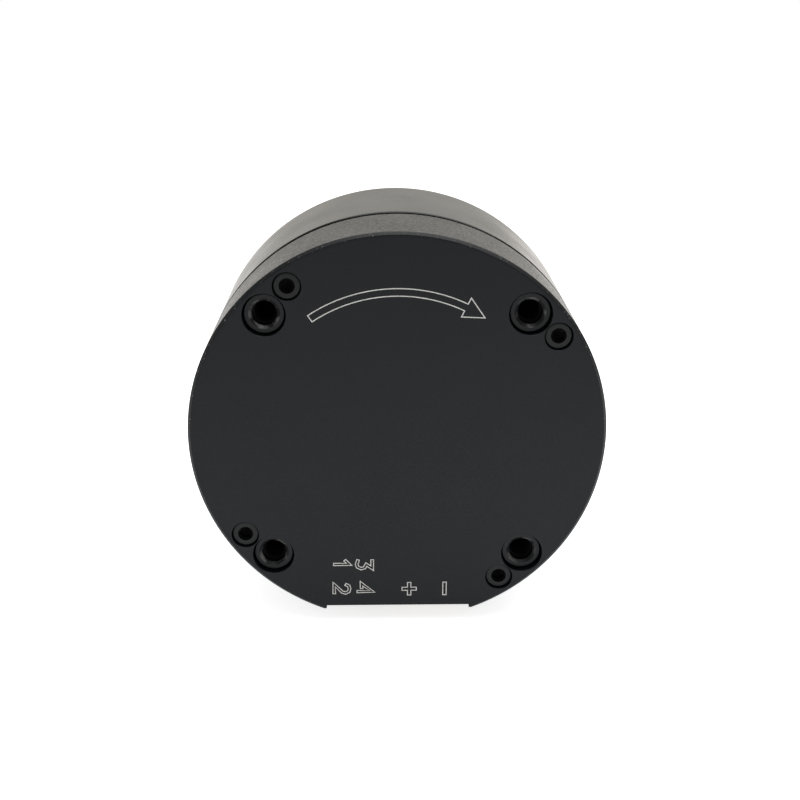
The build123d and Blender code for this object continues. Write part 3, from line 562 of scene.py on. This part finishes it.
def add_groove(bm, outline):
    """A thin closed wedge along a closed outline of (x, z), to cut an engraved line with."""
    reach = ENGRAVED_LINE / 2 * (1 + ENGRAVED_OVER / ENGRAVED_DEPTH)
    left_side = [bm.verts.new((x, -ENGRAVED_OVER, z)) for x, z in offset_corners(outline, True, reach)]
    right_side = [bm.verts.new((x, -ENGRAVED_OVER, z)) for x, z in offset_corners(outline, True, -reach)]
    bottom = [bm.verts.new((x, ENGRAVED_DEPTH, z)) for x, z in outline]
    for ring, other in ((left_side, right_side), (right_side, bottom), (bottom, left_side)):
        for step in range(len(outline)):
            after = (step + 1) % len(outline)
            bm.faces.new((ring[step], ring[after], other[after], other[step]))


def stroke_outline(points, width):
    """The closed outline of a line of the given width along a path."""
    left_side = offset_corners(points, False, width / 2)
    right_side = offset_corners(points, False, -width / 2)
    return [tuple(point) for point in left_side + right_side[::-1]]


ARROW_RADIUS = 25.2 * MM
ARROW_HALF_TURN = 34.0
ARROW_HALF_WIDTH = 0.62 * MM
ARROW_HEAD_HALF_WIDTH = 1.75 * MM
ARROW_HEAD_TURN = 8.0
ARROW_STEPS = 40


def arrow_outline():
    """The outline of a bent arrow that shows the positive turning direction."""
    start, tip = 90 + ARROW_HALF_TURN, 90 - ARROW_HALF_TURN
    neck = tip + ARROW_HEAD_TURN
    polar = []
    for step in range(ARROW_STEPS + 1):
        polar.append((ARROW_RADIUS + ARROW_HALF_WIDTH, start + (neck - start) * step / ARROW_STEPS))
    polar.append((ARROW_RADIUS + ARROW_HEAD_HALF_WIDTH, neck))
    polar.append((ARROW_RADIUS, tip))
    polar.append((ARROW_RADIUS - ARROW_HEAD_HALF_WIDTH, neck))
    for step in range(ARROW_STEPS + 1):
        polar.append((ARROW_RADIUS - ARROW_HALF_WIDTH, neck + (start - neck) * step / ARROW_STEPS))
    return [(radius * cos(radians(turn)), radius * sin(radians(turn))) for radius, turn in polar]


# Each digit as one path, in shares of its height, from its foot upward
DIGITS = {
    "1": ((-0.3, 0.72), (0, 1), (0, 0)),
    "2": (
        ((-0.32, 0.74), (-0.2, 0.95), (0, 1), (0.2, 0.95))
        + ((0.32, 0.74), (0.24, 0.52), (-0.32, 0), (0.36, 0))
    ),
    "3": (
        ((-0.32, 1), (0.3, 1), (0.02, 0.62), (0.26, 0.5))
        + ((0.32, 0.28), (0.2, 0.06), (0, 0), (-0.32, 0.1))
    ),
    "4": ((0.22, 0), (0.22, 1), (-0.36, 0.3), (0, 0.3)),
}
DIGIT_HEIGHT = 2.7 * MM
STROKE = 0.46 * MM
SIGN_HALF = 1.25 * MM
SIGN_STROKE = 0.6 * MM
# Pin numbers, each with its place (x, z) in millimetres
PIN_NUMBERS = (("1", -9.8, -23.5), ("2", -9.8, -28.3), ("3", -5.8, -23.5), ("4", -5.8, -28.3))
PLUS_PLACE = (2.0 * MM, -28.4 * MM)
MINUS_PLACE = (8.2 * MM, -28.4 * MM)


def digit_outline(digit, x, z):
    """A pin number turned a quarter, so that it reads with its foot to the left."""
    path = []
    for across, up in DIGITS[digit]:
        path.append((x * MM + (up - 0.5) * DIGIT_HEIGHT, z * MM - across * DIGIT_HEIGHT))
    return stroke_outline(path, STROKE)


def plus_outline():
    """The outline of a plus sign."""
    x, z = PLUS_PLACE
    half = SIGN_STROKE / 2
    quarter = [(SIGN_HALF, half), (half, half), (half, SIGN_HALF)]
    corners = []
    for turn in range(4):
        for across, up in quarter:
            for _ in range(turn):
                across, up = -up, across
            corners.append((x + across, z + up))
    return corners


def minus_outline():
    """The outline of a minus sign turned a quarter, as the pin numbers are."""
    x, z = MINUS_PLACE
    return stroke_outline([(x, z - SIGN_HALF), (x, z + SIGN_HALF)], SIGN_STROKE)


def engraving():
    """One cutter for the arrow and the pin marks."""
    outlines = [arrow_outline(), plus_outline(), minus_outline()]
    outlines += [digit_outline(*mark) for mark in PIN_NUMBERS]
    bm = bmesh.new()
    for outline in outlines:
        add_groove(bm, outline)
    return dressed(piece_from("engraving", bm), "engraved")


def build_cover():
    """The cup with its screw bosses and the pedestal under the thermal pad, then all that is cut from it."""
    inner_r = housing_r - COVER_WALL
    seat = head_rear + SCREW_HEAD_HEIGHT
    boss_front = cover_front - BASE_PLATE
    profile = softened(
        [
            (housing_r - 2 * EDGE_CHAMFER, 0),
            (housing_r - EDGE_CHAMFER, 0),
            (housing_r, EDGE_CHAMFER),
            (housing_r, cover_front - EDGE_BREAK),
            (housing_r - EDGE_BREAK, cover_front),
            (inner_r, cover_front),
            (inner_r, COVER_PLATE),
            (inner_r - 2 * EDGE_CHAMFER, COVER_PLATE),
        ],
        EDGE_ROUND,
    )
    cover = dressed(turned("rear_cover_shell", profile), "cover_anodised")
    post_places = ring_places(post_circle, HOLE_COUNT, POST_ANGLE)
    screw_places = ring_places(SCREW_CIRCLE, HOLE_COUNT, SCREW_ANGLE)
    boss = [(SCREW_BOSS, COVER_PLATE - OVER), (SCREW_BOSS, boss_front)]
    bosses = turned("bosses", boss, screw_places, HOLE_SEGMENTS)
    carve(cover, dressed(bosses, "cover_anodised"), "UNION")
    pad_low, pad_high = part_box("thermal_pad")
    bm = bmesh.new()
    pad_corners = [
        (pad_low.x, pad_low.z),
        (pad_high.x, pad_low.z),
        (pad_high.x, pad_high.z),
        (pad_low.x, pad_high.z),
    ]
    add_prism(bm, pad_corners, COVER_PLATE - OVER, pad_low.y)
    carve(cover, dressed(piece_from("pedestal", bm), "cover_anodised"), "UNION")
    post_cut = [
        (POST_HOLE + HOLE_BREAK + OVER, -OVER),
        (POST_HOLE + HOLE_BREAK, 0),
        (POST_HOLE, HOLE_BREAK),
        (POST_HOLE, COVER_PLATE + OVER),
    ]
    carve(cover, dressed(turned("post_cutter", post_cut, post_places, HOLE_SEGMENTS), "cover_anodised"))
    screw_cut = [
        (SCREW_COUNTERBORE + HOLE_BREAK + OVER, -OVER),
        (SCREW_COUNTERBORE + HOLE_BREAK, 0),
        (SCREW_COUNTERBORE, HOLE_BREAK),
        (SCREW_COUNTERBORE, seat),
        (SCREW_CLEARANCE, seat),
        (SCREW_CLEARANCE, boss_front + OVER),
    ]
    carve(cover, dressed(turned("screw_cutter", screw_cut, screw_places, HOLE_SEGMENTS), "cover_anodised"))
    carve(cover, dressed(notch_cutter(), "cover_anodised"))
    carve(cover, engraving())
    return replace_node(polish(cover), "rear_cover", "stator")


# Motor base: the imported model's own solid, with real threads cut in its posts


FLANK_STRETCH = 1.4
FLANK_SHIFT = 0.2


def tap(name, thread, places, start, end):
    """A cutter for a thread between two depths, at each place."""
    crest, root, pitch = thread

    def flank(radius, depth, angle):
        """The radius at a point: a flat crest and a flat root, joined by straight flanks."""
        turn = (depth / pitch - angle / (2 * pi)) % 1
        height = min(1, max(0, FLANK_STRETCH * (1 - abs(2 * turn - 1)) - FLANK_SHIFT))
        return crest + (root - crest) * height

    rows = int((end - start) / pitch * THREAD_ROWS) + 1
    profile = [(root, start + row * pitch / THREAD_ROWS) for row in range(rows)]
    return turned(name, profile, places, THREAD_SEGMENTS, flank)


MOUTH_WEAR = 0.06 * MM
POST_MOUTH = 2.5 * MM


def build_base():
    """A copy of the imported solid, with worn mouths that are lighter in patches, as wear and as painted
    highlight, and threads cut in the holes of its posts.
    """
    node_mesh = nodes["motor_base"].data
    bm = bmesh.new()
    corners = [bm.verts.new(vertex.co) for vertex in node_mesh.vertices]
    for polygon in node_mesh.polygons:
        bm.faces.new([corners[index] for index in polygon.vertices])
    base = piece_from("motor_base_tapped", bm)
    dressed(base, "base_anodised")
    places = ring_places(post_circle, HOLE_COUNT, POST_ANGLE)
    thread_end = post_end + POST_THREAD_DEPTH
    lead_end = post_end + POST_LEAD
    worn_r = POST_MOUTH + MOUTH_WEAR
    lead_start = post_end + worn_r - POST_LEAD_RADIUS
    mouth = [
        (worn_r + OVER, post_end - OVER),
        (POST_LEAD_RADIUS, lead_start),
        (POST_LEAD_RADIUS, lead_end),
        (0.6 * POST_THREAD[0], lead_end + OVER),
    ]
    cutter = dressed(turned("post_mouth", mouth, places, HOLE_SEGMENTS), "worn_and_highlight_mouth")
    # Deeper than the lead's start, the hole and its thread get painted shade: a near-black finish for the
    # shadow inside.
    cutter.data.materials.append(materials["painted_shade_bore"])
    for polygon in cutter.data.polygons:
        polygon.material_index = int(polygon.center.y > lead_start)
    carve(base, cutter)
    carve(base, dressed(tap("post_tap", POST_THREAD, places, lead_end - OVER, thread_end), "painted_shade_bore"))
    return replace_node(polish(base), "motor_base", "stator")


# Cap screws in the rear face


def hexagon(centre, across_flats, turn):
    """The corners of a hexagon, as (x, z)."""
    radius = across_flats / 2 / cos(pi / 6)
    angles = [radians(turn) + pi / 3 * step for step in range(6)]
    return [(centre[0] + radius * cos(angle), centre[1] + radius * sin(angle)) for angle in angles]


def cut_sockets(screws, places, mouth_depth, ahead, flats, depth, mouth_r):
    """Cuts hexagonal sockets with a round mouth and a drilled bottom.

    Ahead is 1 where they go forward and -1 where they go to the rear.
    """

    def down(distance):
        return mouth_depth + ahead * distance

    bm = bmesh.new()
    # The sockets, their mouths and their drills all get painted shade: a near-black finish for the shadow
    # inside them.
    for index, place in enumerate(places):
        turn = SOCKET_FIRST_TURN + SOCKET_NEXT_TURN * index
        add_prism(bm, hexagon(place, flats, turn), *sorted((down(-OVER), down(depth))))
    carve(screws, dressed(piece_from("hexagons", bm), "painted_shade_bore"))
    lead = SOCKET_LEAD_SHARE * depth
    mouth = [(mouth_r + SOCKET_SLOPE * OVER, down(-OVER)), (mouth_r - SOCKET_SLOPE * lead, down(lead))]
    carve(screws, dressed(turned("socket_mouths", mouth, places, HOLE_SEGMENTS), "painted_shade_bore"))
    drill_r = SOCKET_DRILL_SHARE * flats
    drilled = [(drill_r, down(depth - EDGE_ROUND)), (0.1 * drill_r, down(depth + 0.5 * drill_r))]
    carve(screws, dressed(turned("socket_drills", drilled, places, HOLE_SEGMENTS), "painted_shade_bore"))


def build_cover_screws():
    """Four cap screws with rounded heads."""
    places = ring_places(SCREW_CIRCLE, HOLE_COUNT, SCREW_ANGLE)
    seat = head_rear + SCREW_HEAD_HEIGHT
    head = [(SCREW_HEAD - 2 * HEAD_ROUND, head_rear), (SCREW_HEAD, head_rear), (SCREW_HEAD, seat)]
    profile = softened(head, HEAD_ROUND, 6)
    profile += [(SCREW_SHANK, seat), (SCREW_SHANK, screw_tip - TIP_CHAMFER)]
    profile += [(SCREW_SHANK - TIP_CHAMFER, screw_tip)]
    screws = dressed(turned("cover_cap_screws", profile, places, HOLE_SEGMENTS), "black_steel")
    cut_sockets(screws, places, head_rear, 1, SOCKET_FLATS, SOCKET_DEPTH, SOCKET_MOUTH)
    return replace_node(polish(screws), "cover_screws", "stator")


# Rotor bell: a turned cup with the output pattern on its face


def build_bell():
    """The cup with its spigot and locating recess, then its tapped and countersunk holes."""
    profile = [(SPIGOT - EDGE_CHAMFER, spigot_front), (SPIGOT, spigot_front), (SPIGOT, bell_inside)]
    profile += [(bell_inner_r, bell_inside), (bell_inner_r, bell_rear)]
    profile += [(housing_r - EDGE_BREAK, bell_rear), (housing_r, bell_rear + EDGE_BREAK)]
    profile += [(housing_r, output_face - EDGE_CHAMFER), (housing_r - EDGE_CHAMFER, output_face)]
    profile += [(pilot_r + EDGE_BREAK, output_face), (pilot_r, output_face - EDGE_BREAK)]
    profile += [(pilot_r, pilot_floor), (pilot_r - EDGE_CHAMFER, pilot_floor)]
    bell = dressed(turned("rotor_bell_shell", softened(profile, EDGE_ROUND)), "bell_anodised")
    mouth_depth = OUTPUT_MOUTH - output_hole_r
    hole = [
        (output_hole_r, bell_inside - OVER),
        (output_hole_r, output_face - mouth_depth),
        (OUTPUT_MOUTH, output_face),
        (OUTPUT_MOUTH + OVER, output_face + OVER),
    ]
    places = ring_places(output_circle, output_count, 0)
    carve(bell, dressed(turned("output_cutter", hole, places, HOLE_SEGMENTS), "bell_anodised"))
    thread_ends = (bell_inside - OVER, output_face - HOLE_BREAK)
    carve(bell, dressed(tap("output_tap", OUTPUT_THREAD, places, *thread_ends), "bell_anodised"))
    slope = (ROTOR_SCREW_MOUTH - SCREW_SHANK) / ROTOR_SCREW_HEAD_HEIGHT
    countersink = [
        (SCREW_SHANK, bell_inside - OVER),
        (SCREW_SHANK, pilot_floor - ROTOR_SCREW_HEAD_HEIGHT),
        (ROTOR_SCREW_MOUTH, pilot_floor),
        (ROTOR_SCREW_MOUTH + slope * OVER, pilot_floor + OVER),
    ]
    screw_places = ring_places(ROTOR_SCREW_CIRCLE, ROTOR_SCREW_COUNT, 0)
    carve(bell, dressed(turned("countersinks", countersink, screw_places, HOLE_SEGMENTS), "bell_anodised"))
    return replace_node(polish(bell), "rotor_bell", "rotor")


def build_rotor_screws():
    """Countersunk screws in the recess of the bell."""
    places = ring_places(ROTOR_SCREW_CIRCLE, ROTOR_SCREW_COUNT, 0)
    head_r = ROTOR_SCREW_MOUTH - ROTOR_SCREW_GAP
    shank = SCREW_SHANK - ROTOR_SCREW_GAP
    neck = pilot_floor - ROTOR_SCREW_HEAD_HEIGHT
    profile = [
        (shank - TIP_CHAMFER, rotor_screw_tip),
        (shank, rotor_screw_tip + TIP_CHAMFER),
        (shank, neck),
        (head_r, pilot_floor - EDGE_ROUND),
        (head_r - EDGE_ROUND, pilot_floor),
    ]
    screws = dressed(turned("rotor_countersunk_screws", profile, places, HOLE_SEGMENTS), "black_steel")
    cut_sockets(screws, places, pilot_floor, -1, ROTOR_SOCKET_FLATS, ROTOR_SOCKET_DEPTH, ROTOR_SOCKET_MOUTH)
    return replace_node(polish(screws), "rotor_screws", "rotor")


build_cover()
build_base()
build_cover_screws()
build_bell()
build_rotor_screws()


# Floor, light and camera

FLOOR_SIZE = 4.0
FLOOR_COLOUR = (0.86, 0.86, 0.86, 1)
WHITE = (1, 1, 1)
floor_z = -housing_r


def build_floor():
    """A pale floor, white to the camera, with the motor's shadow on it.

    What the motor reflects of it is warm and bright behind the motor. On the camera's side it is dimmer
    and cooler, most of all at the left.
    """
    bm = bmesh.new()
    half = FLOOR_SIZE / 2
    signs = ((-1, -1), (1, -1), (1, 1), (-1, 1))
    bm.faces.new([bm.verts.new((x * half, y * half, floor_z)) for x, y in signs])
    floor = piece_from("floor", bm)
    made, tree, main, coordinates = shader("pale_floor")
    main.inputs["Base Color"].default_value = FLOOR_COLOUR
    main.inputs["Roughness"].default_value = 0.9
    main.inputs["Specular IOR Level"].default_value = 0.2
    rays = tree.nodes.new("ShaderNodeLightPath")
    separate = tree.nodes.new("ShaderNodeSeparateXYZ")
    tree.links.new(coordinates, separate.inputs["Vector"])
    behind = mapped(tree, separate.outputs["Y"], SWEEP_START, SWEEP_END, 0, 1)
    near = mapped(tree, separate.outputs["Y"], NEAR_START, SWEEP_START, 0, 1)
    side = mapped(tree, separate.outputs["X"], -NEAR_HALF, NEAR_HALF, NEAR_LEFT, NEAR_RIGHT)
    near_lift = combined(tree, "MULTIPLY", near, side)
    lift = combined(tree, "ADD", near_lift, mapped(tree, behind, 0, 1, 0, SWEEP_LIFT))
    tint = blended(tree, behind, NEAR_COLOUR, SWEEP_COLOUR)
    glossy = rays.outputs["Is Glossy Ray"]
    tree.links.new(blended(tree, glossy, WHITE, tint), main.inputs["Emission Color"])
    mirrored = combined(tree, "MULTIPLY", glossy, lift)
    seen = mapped(tree, rays.outputs["Is Camera Ray"], 0, 1, 0, FLOOR_LIFT)
    tree.links.new(combined(tree, "ADD", mirrored, seen), main.inputs["Emission Strength"])
    made.cycles.emission_sampling = "NONE"
    floor.data.materials.append(made)


def build_world():
    """A white studio. What the motor reflects of it is dimmer and cooler on the camera's side."""
    world = bpy.data.worlds.new("studio")
    bpy.context.scene.world = world
    world.use_nodes = True
    world.cycles.sampling_method = "NONE"
    tree = world.node_tree
    background = tree.nodes["Background"]
    rays = tree.nodes.new("ShaderNodeLightPath")
    separate = tree.nodes.new("ShaderNodeSeparateXYZ")
    tree.links.new(tree.nodes.new("ShaderNodeTexCoord").outputs["Generated"], separate.inputs["Vector"])
    behind = mapped(tree, separate.outputs["Y"], FRONT_END, BACK_START, 0, 1)
    studio = blended(tree, behind, FRONT_LIGHT, BACK_LIGHT)
    glossy, diffuse = rays.outputs["Is Glossy Ray"], rays.outputs["Is Diffuse Ray"]
    tree.links.new(blended(tree, glossy, WHITE, studio), background.inputs["Color"])
    tree.links.new(mapped(tree, diffuse, 0, 1, 1, AMBIENT), background.inputs["Strength"])


def build_softbox():
    """One large soft lamp above the motor, turned to it."""
    light = bpy.data.lights.new("top_softbox", "AREA")
    light.shape = "RECTANGLE"
    light.size = LAMP_SIZE
    light.size_y = LAMP_SIZE
    light.energy = LAMP_POWER
    lamp = bpy.data.objects.new("top_softbox", light)
    lamp.location = LAMP_PLACE
    lamp.rotation_euler = (-Vector(LAMP_PLACE)).to_track_quat("-Z", "Y").to_euler()
    bpy.context.scene.collection.objects.link(lamp)


# The world: its level for matt surfaces, then what glossy ones see of it on the camera's side and behind
AMBIENT = 0.6
FRONT_LIGHT = (0.05, 0.056, 0.066)
BACK_LIGHT = (0.84, 0.81, 0.75)
FRONT_END = -0.5
BACK_START = 0.4

# The floor: its lift for the camera, then for glossy surfaces
# its lift behind (sweep) and on the camera's side (near)
FLOOR_LIFT = 0.75
SWEEP_START = 0.0
SWEEP_END = 0.12
SWEEP_LIFT = 0.46
NEAR_START = -0.26
NEAR_HALF = 0.2
NEAR_LEFT = 0.04
NEAR_RIGHT = 0.36
NEAR_COLOUR = (0.82, 0.93, 1.0)
SWEEP_COLOUR = (1.0, 0.93, 0.85)

LAMP_PLACE = (0.06, 0.04, 0.45)
LAMP_SIZE = 0.5
LAMP_POWER = 2.0
build_floor()
build_world()
build_softbox()

CAMERA_TARGET = (0.39 * MM, 0, 6.90 * MM)
CAMERA_DISTANCE = 192.57 * MM
CAMERA_AZIMUTH = -0.96
CAMERA_ELEVATION = 20.31
CAMERA_LENS = 52.55
SENSOR = 36.0
CLIP_START = 0.01
CLIP_END = 20


def build_camera():
    """The camera at the photograph's angle, found by a fit to the rim, the seam and the holes."""
    data = bpy.data.cameras.new("camera")
    data.lens = CAMERA_LENS
    data.sensor_width = SENSOR
    data.clip_start = CLIP_START
    data.clip_end = CLIP_END
    camera = bpy.data.objects.new("camera", data)
    azimuth, elevation = radians(CAMERA_AZIMUTH), radians(CAMERA_ELEVATION)
    back = Vector((sin(azimuth) * cos(elevation), -cos(azimuth) * cos(elevation), sin(elevation)))
    camera.location = Vector(CAMERA_TARGET) + back * CAMERA_DISTANCE
    camera.rotation_euler = (-back).to_track_quat("-Z", "Y").to_euler()
    bpy.context.scene.collection.objects.link(camera)
    bpy.context.scene.camera = camera


build_camera()
bpy.context.scene.view_settings.view_transform = "Standard"
